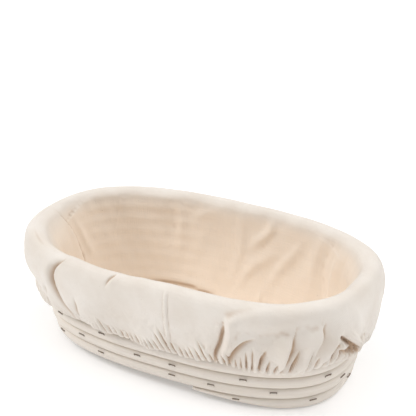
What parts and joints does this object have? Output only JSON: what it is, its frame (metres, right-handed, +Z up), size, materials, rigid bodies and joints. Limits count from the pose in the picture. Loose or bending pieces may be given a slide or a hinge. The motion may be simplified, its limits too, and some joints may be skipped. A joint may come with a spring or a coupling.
{
  "type": "banneton basket",
  "caption": "Oval coiled cane proofing basket held by wire staples, with a lift-out cotton liner that turns over the rim to a gathered elastic hem.",
  "frame": {"origin": "middle of the underside, on the surface that the basket stands on", "axes": "+X along the length, -Y the front, +Z up"},
  "size_m": [0.263, 0.1641, 0.0853],
  "materials": {
    "rattan": "satin, bare cane",
    "staple_wire": "dull dark wire",
    "liner_cloth": "plain-woven unbleached cotton",
    "elastic": "braid-covered",
    "thread": "cotton sewing thread"
  },
  "bodies": {
    "basket": {"floor_cane": "rattan", "wall_cane_lower": "rattan", "wall_cane_middle": "rattan", "wall_cane_upper": "rattan", "staple_1_01": "staple_wire", "staple_1_02": "staple_wire", "staple_1_03": "staple_wire", "staple_1_04": "staple_wire", "staple_1_05": "staple_wire", "staple_1_06": "staple_wire", "staple_1_07": "staple_wire", "staple_1_08": "staple_wire", "staple_1_09": "staple_wire", "staple_1_10": "staple_wire", "staple_1_11": "staple_wire", "staple_1_12": "staple_wire", "staple_2_01": "staple_wire", "staple_2_02": "staple_wire", "staple_2_03": "staple_wire", "staple_2_04": "staple_wire", "staple_2_05": "staple_wire", "staple_2_06": "staple_wire", "staple_2_07": "staple_wire", "staple_2_08": "staple_wire", "staple_2_09": "staple_wire", "staple_2_10": "staple_wire", "staple_2_11": "staple_wire", "staple_2_12": "staple_wire", "staple_3_01": "staple_wire", "staple_3_02": "staple_wire", "staple_3_03": "staple_wire", "staple_3_04": "staple_wire", "staple_3_05": "staple_wire", "staple_3_06": "staple_wire", "staple_3_07": "staple_wire", "staple_3_08": "staple_wire", "staple_3_09": "staple_wire", "staple_3_10": "staple_wire", "staple_3_11": "staple_wire", "staple_3_12": "staple_wire"},
    "liner": {"liner_floor": "liner_cloth", "liner_wall": "liner_cloth", "liner_skirt": "liner_cloth", "elastic_cord": "elastic", "floor_seam_thread": "thread", "hem_seam_thread": "thread", "side_seam_thread": "thread"}
  },
  "joints": [
    {"name": "liner_lift", "type": "slide", "parent": "basket", "child": "liner", "axis": [0, 0, 1], "range_m": [0, 0.12], "deforming": ["liner_skirt", "elastic_cord", "hem_seam_thread"]}
  ]
}
